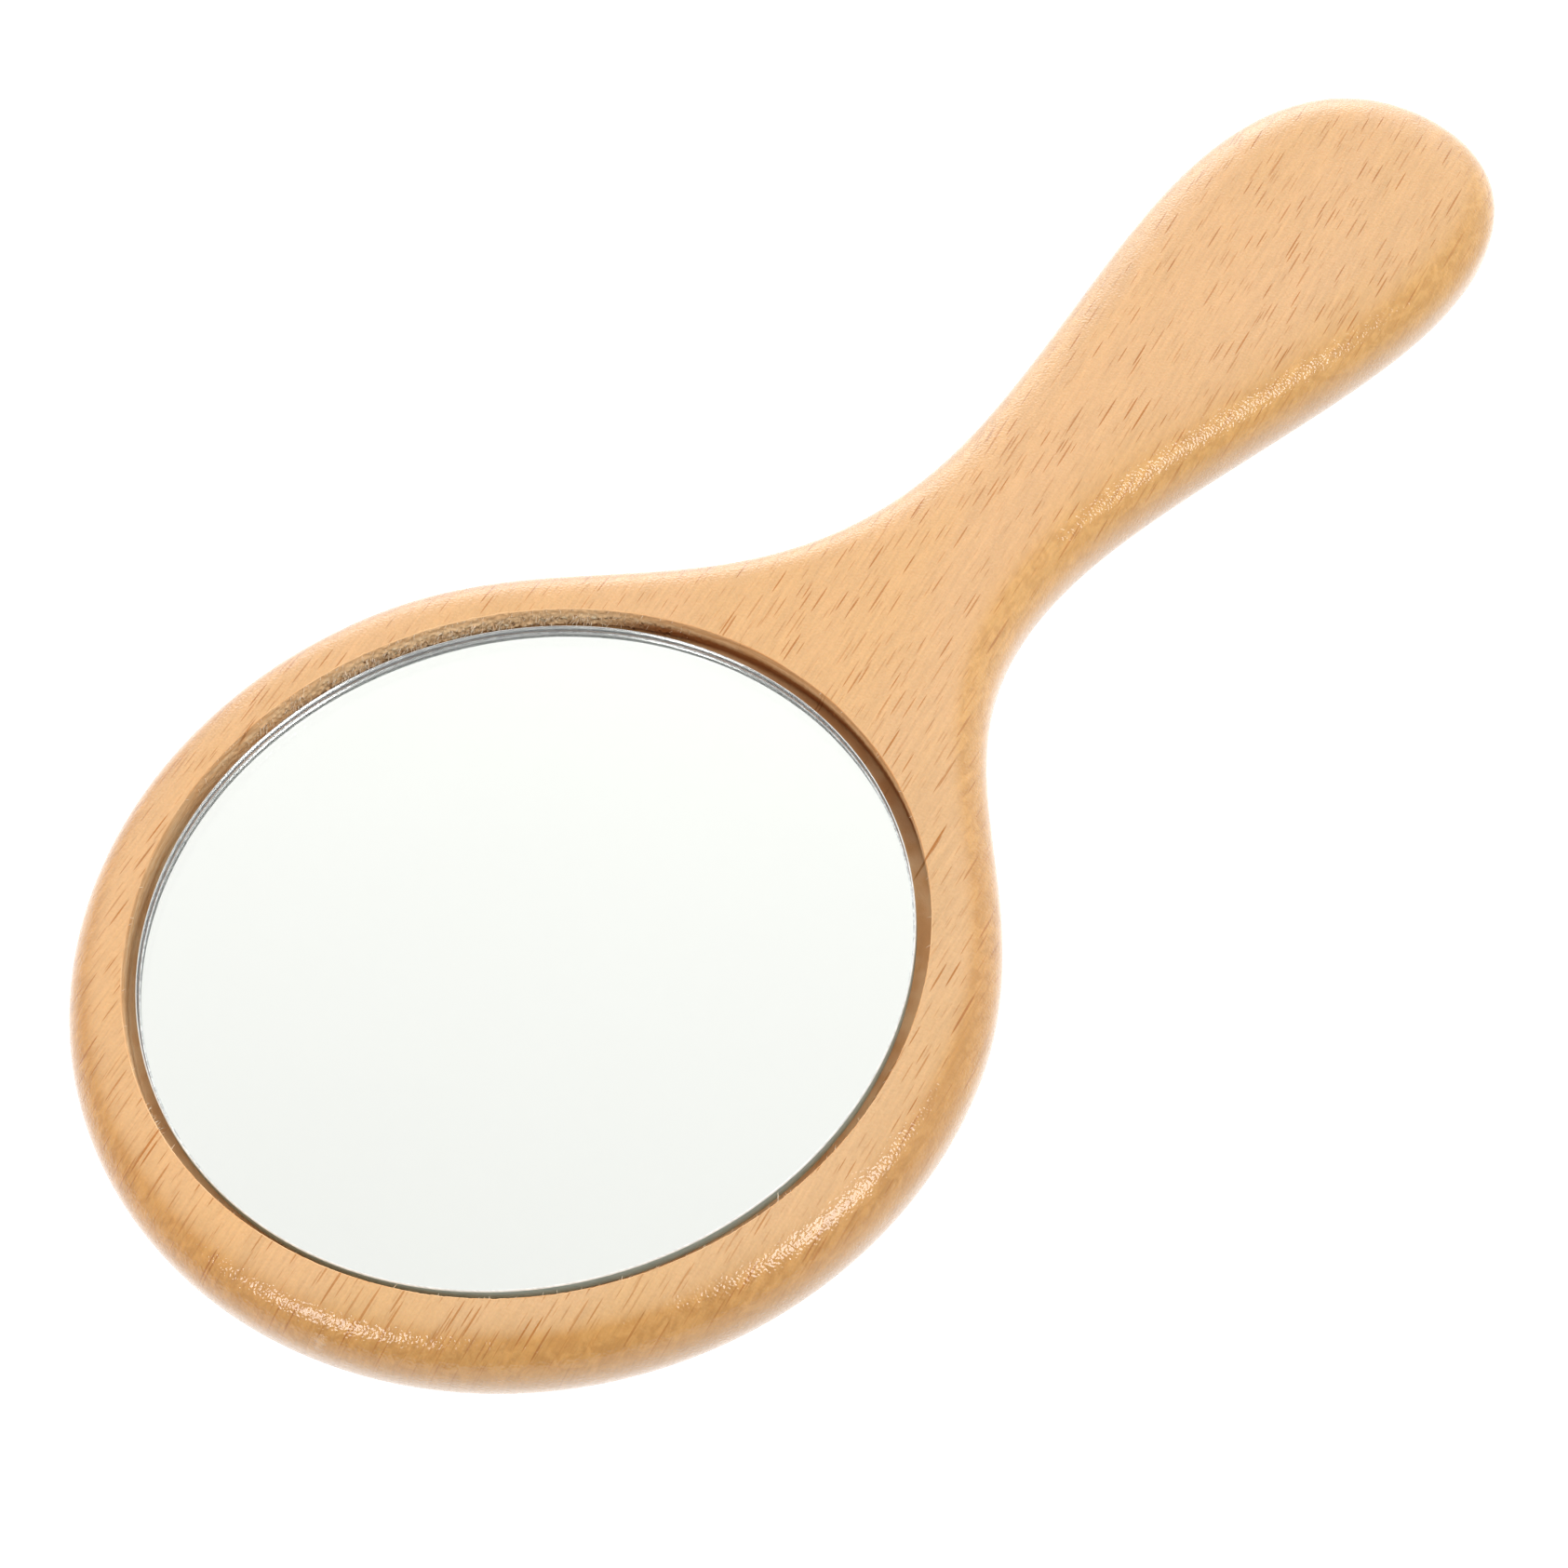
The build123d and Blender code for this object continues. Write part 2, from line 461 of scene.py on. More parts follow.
# ======================================================================= wooden body
def wood_shell():
    """The lacquered outside, the bare recess and its torn fibres."""
    shell = Shell()
    outline, normal = smooth_outline(section("wood_body", SECTION_Z), OUTLINE_COUNT)
    outline = np.clip(outline, WOOD_LOW.xy, WOOD_HIGH.xy)
    side = [shell.add_points(ring) for ring in side_rings(outline, normal)]
    for upper, lower in zip(side, side[1:]):
        shell.join_rings(upper, lower, LACQUERED)

    angles = np.linspace(0, FULL_TURN, RECESS_COUNT, endpoint=False)
    lip = [
        shell.add_points([lip_point(angle, turn) for angle in angles])
        for turn in np.radians(LIP_TURNS)
    ]
    for outer, inner in zip(lip, lip[1:]):
        shell.join_rings(inner, outer, RAW)
    wall = [lip[-1]]
    for z in np.linspace(FACE_Z - LIP_ROUNDING, WALL_FOOT_Z, WALL_STEPS)[1:]:
        wall.append(shell.add_points([wall_point(angle, z) for angle in angles]))
    for inset, z in ((CORNER_INSET, CORNER_Z), (FLOOR_INSET, FLOOR_Z)):
        points = [recess_point(angle, recess_radius(angle) - inset, z) for angle in angles]
        wall.append(shell.add_points(points))
    for upper, lower in zip(wall, wall[1:]):
        shell.join_rings(lower, upper, RAW)
    shell.fill_flat(wall[-1], None, HIDDEN_SPACING, True, RAW)
    shell.fill_flat(side[0], lip[0], FACE_SPACING, True, LACQUERED)
    shell.fill_flat(side[-1], None, HIDDEN_SPACING, False, LACQUERED)
    add_fibres(shell)
    return shell


# ======================================================================= glass
GLASS_COUNT = 900
GLASS_SPACING = 4.0 * MM
SEAM = 0.17 * MM               # the ground bevel on both rims
COAT_MARGIN = 0.42 * MM        # the silver stops this far short of the glass edge
FILM_CLEARANCE = 0.01 * MM     # between the glass and the silver film under it
WOBBLE_WAVES = 6               # how quickly the hand-ground rim wavers round the glass
FINE_WOBBLE_WAVES = 21
POLISHED, GROUND, SILVERED, BEVELLED = range(4)   # material slots of the glass


def glass_ring(inset, z, wobble, seed):
    """Ring of points round the glass, taken in by the inset and by an uneven wobble."""
    points = []
    for angle in np.linspace(0, FULL_TURN, GLASS_COUNT, endpoint=False):
        cos, sin = math.cos(angle), math.sin(angle)
        swing = noise.noise(Vector((cos * WOBBLE_WAVES, sin * WOBBLE_WAVES, seed)))
        fine = noise.noise(Vector((cos * FINE_WOBBLE_WAVES, sin * FINE_WOBBLE_WAVES, seed)))
        swing += 0.5 * fine
        radius = GLASS_RADIUS - inset - wobble * (0.5 + 0.5 * swing)
        points.append((GLASS_CENTRE.x + radius * cos, GLASS_CENTRE.y + radius * sin, z))
    return points


def glass_shell():
    """Float glass disc whose two rims were ground by hand, so the bevel is a little uneven."""
    shell = Shell()
    top, bottom = GLASS_HIGH.z, GLASS_LOW.z + FILM_CLEARANCE
    levels = (
        # inset, height, wobble, and the material from here down to the next ring
        (SEAM, top, 0.05 * MM, BEVELLED),
        (SEAM * 0.35, top - SEAM * 0.4, 0.03 * MM, BEVELLED),
        (0, top - SEAM * 1.2, 0.01 * MM, GROUND),
        (0, (top + bottom) / 2, 0.0, GROUND),
        (0, bottom + SEAM * 1.2, 0.02 * MM, GROUND),
        (SEAM * 0.35, bottom + SEAM * 0.4, 0.04 * MM, GROUND),
        (SEAM, bottom, 0.08 * MM, SILVERED),
        (COAT_MARGIN, bottom, 0.0, None),
    )
    rings = [
        shell.add_points(glass_ring(inset, z, wobble, seed))
        for seed, (inset, z, wobble, _) in enumerate(levels, 1)
    ]
    for upper, lower, level in zip(rings, rings[1:], levels):
        shell.join_rings(upper, lower, level[-1])
    shell.fill_flat(rings[0], None, GLASS_SPACING, True, POLISHED)
    shell.fill_flat(rings[-1], None, GLASS_SPACING, False, POLISHED)
    return shell


# ======================================================================= foam pads
PAD_SIZE = (12.0 * MM, 24.0 * MM)
PAD_CORNER = 2.0 * MM
PAD_CORNER_STEPS = 6
PAD_CORNER_SIGNS = ((1, 1), (-1, 1), (-1, -1), (1, -1))
PAD_RING = 27.0 * MM
PAD_ANGLES = (45, 135, 225, 315)
PAD_LEVELS = 9
PAD_BULGE = 0.45 * MM
PAD_BULGE_ROUNDNESS = 0.98    # 1 would be half an ellipse
PAD_SPACING = 1.5 * MM


def pad_ring(inset, z, turn):
    """Rounded rectangle, taken in by the inset, at a place of the pad ring."""
    half_x, half_y = PAD_SIZE[0] / 2 - PAD_CORNER, PAD_SIZE[1] / 2 - PAD_CORNER
    reach = PAD_CORNER - inset
    points = []
    for quarter, (sign_x, sign_y) in enumerate(PAD_CORNER_SIGNS):
        for step in range(PAD_CORNER_STEPS + 1):
            angle = math.radians((quarter + step / PAD_CORNER_STEPS) * 90)
            x = PAD_RING + sign_x * half_x + reach * math.cos(angle)
            y = sign_y * half_y + reach * math.sin(angle)
            points.append(Vector((x, y, z)))
    spin = Matrix.Rotation(math.radians(turn), 3, "Z")
    return [spin @ point for point in points]


def pad_shell():
    """Four foam pads squeezed by the glass, so that their sides bulge."""
    shell = Shell()
    low, high = PAD_LOW.z, PAD_HIGH.z
    for turn in PAD_ANGLES:
        rings = []
        for step in np.linspace(0, 1, PAD_LEVELS):
            off_middle = (2 * step - 1) ** 2
            inset = PAD_BULGE * (1 - math.sqrt(1 - off_middle * PAD_BULGE_ROUNDNESS))
            rings.append(shell.add_points(pad_ring(inset, high + (low - high) * step, turn)))
        for upper, lower in zip(rings, rings[1:]):
            shell.join_rings(upper, lower)
        shell.fill_flat(rings[0], None, PAD_SPACING, True)
        shell.fill_flat(rings[-1], None, PAD_SPACING, False)
    return shell


# ======================================================================= node graphs
MIX_A, MIX_B, MIX_COLOUR_OUT = 6, 7, 2   # sockets of the Mix node that carry colours
WHITE = (1, 1, 1, 1)
NOISE_LOW, NOISE_HIGH = 0.3, 0.7   # nearly all values of a noise lie between these


class Graph:
    """Short names for building the nodes of a material or of the world."""

    def __init__(self, owner, output):
        owner.use_nodes = True
        self.owner = owner
        self.tree = owner.node_tree
        self.tree.nodes.clear()
        self.output = self.tree.nodes.new("ShaderNode" + output)

    def node(self, kind, settings=None, **inputs):
        """New node; underscores in the names of inputs stand for spaces."""
        made = self.tree.nodes.new("ShaderNode" + kind)
        for key, value in (settings or {}).items():
            setattr(made, key, value)
        for key, value in inputs.items():
            self.put(made, key.replace("_", " "), value)
        return made

    def put(self, node, socket, value):
        """Link a socket to the input, or give the input a plain value."""
        if isinstance(value, bpy.types.NodeSocket):
            self.tree.links.new(value, node.inputs[socket])
        else:
            node.inputs[socket].default_value = value

    def math(self, operation, a, b=0.0, clamp=False):
        made = self.node("Math", {"operation": operation, "use_clamp": clamp})
        self.put(made, 0, a)
        self.put(made, 1, b)
        return made.outputs[0]

    def times(self, a, b):
        return self.math("MULTIPLY", a, b)

    def vector_math(self, operation, a, b, output):
        made = self.node("VectorMath", {"operation": operation})
        self.put(made, 0, a)
        self.put(made, 1, tuple(b))
        return made.outputs[output]

    def ramp(self, value, low=NOISE_LOW, high=NOISE_HIGH, to_low=0.0, to_high=1.0, smooth=True):
        """Map low..high onto to_low..to_high, and hold those values beyond the ends."""
        made = self.node("MapRange", {"interpolation_type": "SMOOTHSTEP" if smooth else "LINEAR"})
        for key, number in (("Value", value), ("From Min", low), ("From Max", high),
                            ("To Min", to_low), ("To Max", to_high)):
            self.put(made, key, number)
        return made.outputs[0]

    def straight_ramp(self, value, low=NOISE_LOW, high=NOISE_HIGH, to_low=0.0, to_high=1.0):
        return self.ramp(value, low, high, to_low, to_high, smooth=False)

    def mix(self, factor, a, b, blend="MIX"):
        made = self.node("Mix", {"data_type": "RGBA", "blend_type": blend})
        for socket, value in ((0, factor), (MIX_A, a), (MIX_B, b)):
            self.put(made, socket, value)
        return made.outputs[MIX_COLOUR_OUT]

    def tint(self, factor, colour, by):
        """The colour multiplied by another one, as far as the factor says."""
        return self.mix(factor, colour, by, "MULTIPLY")

    def grey(self, level):
        return self.node("CombineColor", Red=level, Green=level, Blue=level).outputs[0]

    def position(self):
        return self.node("TexCoord").outputs["Object"]

    def coordinate(self, axis):
        """One object coordinate, in metres."""
        return self.node("SeparateXYZ", Vector=self.position()).outputs[axis]

    def upright(self):
        """Z of the surface normal: 1 where the surface looks up, -1 where it looks down."""
        normal = self.node("TexCoord").outputs["Normal"]
        return self.node("SeparateXYZ", Vector=normal).outputs["Z"]

    def place(self, steps):
        """Coordinates across, along and through the grain, in cells of the given sizes (mm)."""
        position = self.position()
        joined = self.node("CombineXYZ")
        for slot, (axis, step) in enumerate(zip((ACROSS, FIBRE, RAY), steps)):
            cells = self.vector_math("DOT_PRODUCT", position, axis / (step * MM), "Value")
            self.put(joined, slot, cells)
        return joined.outputs[0]

    def noise(self, vector, detail=2.0, roughness=0.5, distortion=0.0):
        made = self.node("TexNoise", Vector=vector, Scale=1.0, Detail=detail, Roughness=roughness,
                         Distortion=distortion)
        return made.outputs["Fac"]

    def flecks(self, steps, reach, share, softness, shift):
        """Spindle-shaped dashes, one in some of the cells: 1 in a dash's middle, 0 outside it.

        Reach is the half width of the largest dash, in cells. Share is the part of the cells that
        have a dash, softness blurs its edge, and shift tells one pattern from another.
        """
        offset = (shift, shift * 1.7, shift * 0.6)
        moved = self.vector_math("ADD", self.place(steps), offset, 0)
        cells = self.node("TexVoronoi", {"voronoi_dimensions": "3D", "feature": "F1"},
                          Vector=moved, Scale=1.0, Randomness=1.0)
        colour = self.node("SeparateColor", Color=cells.outputs["Color"])
        chance, weight = colour.outputs[0], colour.outputs[1]
        radius = self.straight_ramp(chance, 1 - share, 1.0, reach * 0.55, reach)
        radius = self.times(radius, self.math("GREATER_THAN", chance, 1 - share))
        depth = self.math("SUBTRACT", radius, cells.outputs["Distance"])
        inside = self.math("DIVIDE", depth, softness, clamp=True)
        return self.times(inside, self.straight_ramp(weight, 0.0, 1.0, 0.30, 1.0))

    def bump(self, height, strength, distance, normal=None):
        made = self.node("Bump", Height=height, Strength=strength, Distance=distance)
        if normal is not None:
            self.put(made, "Normal", normal)
        return made.outputs[0]

    def surface(self, **inputs):
        """End the graph with a principled shader."""
        return self.finish(self.node("BsdfPrincipled", **inputs))

    def finish(self, shader):
        """End the graph with this shader, and return the material or world it belongs to."""
        self.tree.links.new(shader.outputs[0], self.output.inputs["Surface"])
        return self.owner


def new_material(name):
    return Graph(bpy.data.materials.new(name), "OutputMaterial")


# ======================================================================= wood materials
PEACH = (0.675, 0.387, 0.173, 1)
GOLD = (0.670, 0.380, 0.156, 1)
FLECK_TINT = (0.61, 0.35, 0.04, 1)
EAST_TINT = (0.925, 0.97, 1.03, 1)        # the +X side is a little cooler
SIDE_FIGURE_AND_SHADE_PALE = (0.92, 0.79, 0.50, 1)         # figure of the rounded sides, also darkening them as painted shade
SIDE_FIGURE_AND_SHADE_DARK = (0.79, 0.64, 0.36, 1)
HANDLE_PAINTED_LIGHT = (1.09, 1.18, 1.29, 1)       # painted light: the sides' painted shade is lighter on neck and handle, where more light falls
RUN_COLOUR = (0.84, 0.57, 0.34, 1)
RUN_PLACE = Vector((20.2, -53.4, 12.8)) * MM    # where the lacquer ran a little, on the head's rim

# Patterns for Graph.flecks: cell sizes, reach, share, softness and shift
LONG_RAYS = ((0.80, 19.0, 60.0), 0.23, 0.62, 0.05, 3.1)
SHORT_RAYS = ((0.48, 9.0, 45.0), 0.31, 1.00, 0.06, 17.7)
FAINT_RAYS = ((0.42, 5.0, 30.0), 0.31, 1.00, 0.12, 41.3)
CHIP_SPECKS = ((0.85, 1.30, 0.85), 0.44, 0.90, 0.08, 5.2)
PIT_SPECKS = ((0.80, 1.10, 0.80), 0.40, 0.75, 0.08, 9.9)
BEECH_FLECKS = ((LONG_RAYS, 1.0), (SHORT_RAYS, 0.90), (FAINT_RAYS, 0.45))   # with their strengths

EAST_START_X = -10 * MM       # the cooler tint comes in between these
EAST_FULL_X = 45 * MM
HANDLE_START_Y = 30 * MM      # and that painted light comes in between these
HANDLE_FULL_Y = 75 * MM
FLAT_COSINE = 0.995           # of the surface's tilt, where the side's golden tone and painted shade start
TURNED_COSINE = 0.87          # and where it is in full
LOWER_SIDE_TONE_AND_SHADE = 0.42        # what is left of the tone and painted shade where the side turns under
RUN_EDGE = 2.4 * MM           # from the middle of the lacquer run
RUN_CORE = 1.2 * MM
RUN_WRINKLE = 2.2 * MM


def beech_colour(graph, side):
    """Pale beech: soft bands, fine silk and short darker ray flecks. Returns colour and flecks."""
    blotch = graph.noise(graph.place((16, 45, 20)), detail=3.0, distortion=0.6)
    bands = graph.noise(graph.place((2.6, 120, 9)), detail=3.0, roughness=0.6)
    silk = graph.noise(graph.place((0.42, 7.0, 3.0)), detail=3.0, roughness=0.65)
    pores = graph.noise(graph.place((0.40, 0.9, 0.9)), detail=2.0, roughness=0.6)
    shade = graph.straight_ramp(bands, 0.25, 0.75, 0.955, 1.03)
    shade = graph.math("ADD", shade, graph.straight_ramp(silk, 0.25, 0.75, -0.105, 0.075))
    shade = graph.math("ADD", shade, graph.straight_ramp(pores, 0.25, 0.75, -0.05, 0.05))
    colour = graph.mix(graph.ramp(blotch, 0.35, 0.7), PEACH, GOLD)
    colour = graph.tint(1.0, colour, graph.grey(shade))
    east = graph.ramp(graph.coordinate("X"), EAST_START_X, EAST_FULL_X)
    colour = graph.tint(east, colour, EAST_TINT)
    marks = 0.0
    for pattern, weight in BEECH_FLECKS:
        marks = graph.math("MAXIMUM", graph.times(graph.flecks(*pattern), weight), marks)
    marks = graph.times(marks, graph.straight_ramp(side, 0.0, 1.0, 1.0, 0.75))
    flatness = graph.math("ABSOLUTE", graph.upright())
    marks = graph.times(marks, graph.ramp(flatness, 0.1, 0.8, 0.3, 1.0))
    return graph.tint(marks, colour, FLECK_TINT), marks


def side_tone_and_shade(graph):
    """0 on the flat front and back, 1 where the front edge turns over and less lower down: the
    side's golden tone with painted shade.
    """
    upright = graph.upright()
    turned = graph.ramp(graph.math("ABSOLUTE", upright), FLAT_COSINE, TURNED_COSINE)
    return graph.times(turned, graph.ramp(upright, -0.1, 0.6, LOWER_SIDE_TONE_AND_SHADE, 1.0))


def lacquer_run(graph):
    """A small run in the lacquer, low on the rim of the head: 1 in its middle, 0 away from it."""
    wrinkle = graph.noise(graph.place((0.9, 0.5, 0.9)), detail=2.0, distortion=1.0)
    away = graph.vector_math("DISTANCE", graph.position(), RUN_PLACE, "Value")
    distance = graph.math("ADD", away, graph.times(wrinkle, RUN_WRINKLE))
    return graph.ramp(distance, RUN_EDGE, RUN_CORE)


def lacquered_wood():
    """Beech under clear satin lacquer with a fine orange peel, golden and darker on the rounded
    sides, partly as painted shade.
    """
    graph = new_material("lacquered_wood")
    side = side_tone_and_shade(graph)
    colour, marks = beech_colour(graph, side)
    figure_and_shade = graph.noise(graph.place((1.8, 4.0, 1.8)), detail=2.0, distortion=1.5)
    figure_and_shade = graph.mix(graph.ramp(figure_and_shade, 0.35, 0.65), SIDE_FIGURE_AND_SHADE_PALE, SIDE_FIGURE_AND_SHADE_DARK)
    # painted light: the grip's sides get more light from the right, so their painted shade is
    # lightened there
    handle_painted_light = graph.ramp(graph.coordinate("Y"), HANDLE_START_Y, HANDLE_FULL_Y)
    # painted shade: the rounded sides are multiplied darker and more golden than the flat face,
    # part grain tone and part shade
    colour = graph.tint(side, colour, graph.tint(handle_painted_light, figure_and_shade, HANDLE_PAINTED_LIGHT))
    run = lacquer_run(graph)
    colour = graph.mix(graph.times(run, 0.35), colour, RUN_COLOUR)
    orange_peel = graph.noise(graph.place((0.31, 0.34, 0.31)), detail=0.0)
    waves = graph.noise(graph.place((3.0, 9.0, 4.0)), detail=2.0)
    normal = graph.bump(waves, 0.25, 0.25 * MM)
    normal = graph.bump(run, 1.0, 0.12 * MM, normal)
    normal = graph.bump(orange_peel, 1.0, 0.055 * MM, normal)
    normal = graph.bump(graph.times(marks, -1.0), 0.3, 0.03 * MM, normal)
    return graph.surface(
        Base_Color=colour, Roughness=graph.straight_ramp(orange_peel, to_low=0.30, to_high=0.42),
        IOR=1.45, Normal=normal, Specular_IOR_Level=0.2,
        Coat_Weight=1.0, Coat_Roughness=0.12, Coat_Normal=normal,
        Subsurface_Weight=0.08, Subsurface_Radius=(1.0, 0.5, 0.25), Subsurface_Scale=0.8 * MM,
    )


CUT_DARK = (0.82, 0.48, 0.23, 1)
CUT_PALE = (0.94, 0.66, 0.39, 1)
TORN_COLOUR = (0.97, 0.68, 0.40, 1)
# painted shade: the small pits of the torn grain are painted dark
PIT_SHADE_COLOUR = (0.22, 0.09, 0.03, 1)
CHIP_COLOUR = (1.0, 0.89, 0.66, 1)
PATCH_COLOUR = (0.86, 0.52, 0.26, 1)
RAY_TINT = (0.62, 0.42, 0.25, 1)
NEAR_FACE_TINT = (0.87, 0.79, 0.71, 1)
# painted shade on the neck side of the wall, and a darker painted shadow band across it
NECK_SIDE_SHADE_TINT = (0.95, 0.86, 0.78, 1)
SHADOW_BAND_TINT = (0.38, 0.22, 0.12, 1)
# painted shadow: thin dark line on the torn wall just above the glass
GLASS_EDGE_SHADOW_TINT = (0.42, 0.34, 0.26, 1)
# painted shade: the left side of the wall is a little darker
LEFT_WALL_SHADE_TINT = (0.88, 0.87, 0.86, 1)
STREAK_LENGTH = 5 * MM
STREAK_HEIGHT = 0.35 * MM
# Sides of the recess: degrees from +X, and the cosines between which the side fades in
TORN_SIDE = (142, 0.78, 0.94)
NECK_SIDE = (88, 0.78, 0.90)
LEFT_SIDE = (208, 0.84, 0.97)
# Bands of the wall, in millimetres below the face: where each starts, and where it is in full
NEAR_FACE_BAND = (1.3, 0.6)
TORN_BAND = (0.9, 2.0)
TORN_ABOVE_BAND = 0.15        # what there is of the specks above that band
# painted shadow band across the wall on the neck side, below the lip
SHADOW_BAND_TOP = (1.2, 2.4)
SHADOW_BAND_FOOT = (4.2, 2.9)
# painted shadow band just above the glass
GLASS_EDGE_SHADOW_BAND = (2.95, 3.2)


def round_recess(graph, degrees, low, high):
    """1 on the side of the recess that lies towards this angle from +X, 0 away from it."""
    angle = math.radians(degrees)
    towards = Vector((math.cos(angle), math.sin(angle), 0.0)) / RECESS_RADIUS
    cosine = graph.vector_math("DOT_PRODUCT", graph.position(), towards, "Value")
    return graph.ramp(cosine, low, high)


def wall_band(graph, band, least=0.0):
    """1 where a band of the wall is in full, and the least value before it starts."""
    start, full = (FACE_Z - depth * MM for depth in band)
    return graph.ramp(graph.coordinate("Z"), start, full, least)


def raw_wood():
    """Bare wood inside the recess: cutter streaks and torn grain, with painted shade and painted
    shadows on parts of the wall.
    """
    graph = new_material("raw_wood")
    stretch = (1 / STREAK_LENGTH, 1 / STREAK_LENGTH, 1 / STREAK_HEIGHT)
    levels = graph.node("Mapping", Vector=graph.position(), Scale=stretch)
    streaks = graph.noise(levels.outputs[0], detail=2.0, roughness=0.55)
    specks = graph.noise(graph.place((0.55, 0.9, 0.55)), detail=3.0, roughness=0.8)
    patches = graph.noise(graph.place((2.5, 4.0, 2.0)), detail=2.0)
    chips = graph.flecks(*CHIP_SPECKS)
    pits = graph.flecks(*PIT_SPECKS)

    torn = round_recess(graph, *TORN_SIDE)
    neck_side_shade = round_recess(graph, *NECK_SIDE)
    left_wall_shade = round_recess(graph, *LEFT_SIDE)
    near_face = wall_band(graph, NEAR_FACE_BAND)
    torn_low = graph.times(torn, wall_band(graph, TORN_BAND, TORN_ABOVE_BAND))
    shadow_band = graph.times(wall_band(graph, SHADOW_BAND_TOP), wall_band(graph, SHADOW_BAND_FOOT))
    glass_edge_shadow = wall_band(graph, GLASS_EDGE_SHADOW_BAND)
    clean = graph.math("SUBTRACT", 0.8, torn)
    rays = graph.math("MULTIPLY", graph.flecks(*LONG_RAYS), clean, clamp=True)

    colour = graph.mix(graph.ramp(streaks, 0.34, 0.66), CUT_DARK, CUT_PALE)
    colour = graph.mix(graph.times(torn, 0.8), colour, TORN_COLOUR)
    # painted shade: the small pits of the torn grain are painted dark
    colour = graph.mix(graph.times(pits, torn_low), colour, PIT_SHADE_COLOUR)
    colour = graph.mix(graph.times(chips, torn_low), colour, CHIP_COLOUR)
    colour = graph.mix(graph.ramp(patches, to_high=0.2), colour, PATCH_COLOUR)
    colour = graph.tint(rays, colour, RAY_TINT)
    colour = graph.tint(near_face, colour, NEAR_FACE_TINT)
    # painted shade on the neck side of the wall, and a painted shadow band below the lip
    colour = graph.tint(neck_side_shade, colour, NECK_SIDE_SHADE_TINT)
    colour = graph.tint(graph.times(shadow_band, neck_side_shade), colour, SHADOW_BAND_TINT)
    # painted shadow: thin dark line on the torn wall just above the glass
    colour = graph.tint(graph.times(glass_edge_shadow, torn), colour, GLASS_EDGE_SHADOW_TINT)
    # painted shade: the left side of the wall is a little darker
    colour = graph.tint(left_wall_shade, colour, LEFT_WALL_SHADE_TINT)

    relief = graph.times(graph.math("SUBTRACT", chips, pits), torn_low)
    normal = graph.bump(specks, 0.7, 0.10 * MM)
    normal = graph.bump(relief, 1.0, 0.14 * MM, normal)
    return graph.surface(
        Base_Color=colour, Roughness=0.92, Normal=normal, Specular_IOR_Level=0.2,
    )


def torn_fibres():
    graph = new_material("torn_fibres")
    specks = graph.noise(graph.place((0.3, 1.2, 0.5)))
    dark, pale = (0.78, 0.56, 0.36, 1), (0.98, 0.86, 0.68, 1)
    return graph.surface(
        Base_Color=graph.mix(graph.ramp(specks), dark, pale), Roughness=0.85,
        Normal=graph.bump(specks, 0.4, 0.02 * MM),
    )


# ======================================================================= glass materials
GLASS_IOR = 1.52
GLASS_TINT = (0.965, 0.985, 0.965, 1)


def grinding_streaks(graph, steps):
    return graph.noise(graph.place(steps), detail=3.0, roughness=0.65)


def polished_glass():
    graph = new_material("polished_glass")
    haze = graph.noise(graph.place((9.0, 9.0, 9.0)), detail=4.0, roughness=0.6)
    return graph.surface(
        Base_Color=GLASS_TINT, IOR=GLASS_IOR, Transmission_Weight=1.0,
        Roughness=graph.ramp(haze, 0.4, 0.8, 0.0, 0.012),
    )


def ground_edge():
    """Glass edge ground with a stone: grey-green outside, and paler and clearer from within; the
    dark outside is painted shade and the pale inside painted light.
    """
    graph = new_material("ground_edge")
    streaks = grinding_streaks(graph, (1.4, 1.4, 0.12))
    # painted shade: the edge seen from outside, in the dim gap, is painted dark grey-green
    outside_in_shade = graph.mix(graph.ramp(streaks), (0.24, 0.34, 0.34, 1), (0.36, 0.46, 0.47, 1))
    # painted light: the same edge seen from within the glass is painted near white
    inside = graph.mix(graph.ramp(streaks), (0.74, 0.78, 0.82, 1), WHITE)
    from_within = graph.node("NewGeometry").outputs["Backfacing"]
    return graph.surface(
        Base_Color=graph.mix(from_within, outside_in_shade, inside), IOR=GLASS_IOR,
        Roughness=graph.straight_ramp(from_within, 0.0, 1.0, 0.45, 0.12),
        Normal=graph.bump(streaks, 0.4, 0.05 * MM),
        Transmission_Weight=graph.times(from_within, 0.70),
    )


def pale_arris():
    """The narrow bevel round the top of the glass, frosted white by the grinding stone."""
    graph = new_material("pale_arris")
    streaks = grinding_streaks(graph, (0.9, 0.9, 0.2))
    dark, pale = (0.66, 0.70, 0.70, 1), (0.90, 0.93, 0.92, 1)
    return graph.surface(
        Base_Color=graph.mix(graph.ramp(streaks), dark, pale), IOR=GLASS_IOR, Roughness=0.3,
        Normal=graph.bump(streaks, 0.4, 0.03 * MM),
    )


def stray_silver():
    """Thin uneven silver on the back of the glass between the coat and the ground edge."""
    graph = new_material("stray_silver")
    streaks = grinding_streaks(graph, (1.1, 1.1, 1.1))
    dark, bright = (0.62, 0.64, 0.65, 1), (0.97, 0.98, 0.98, 1)
    return graph.surface(
        Base_Color=graph.mix(graph.ramp(streaks, 0.35, 0.65), dark, bright), Metallic=1.0,
        Roughness=0.22, Normal=graph.bump(streaks, 0.5, 0.04 * MM),
    )


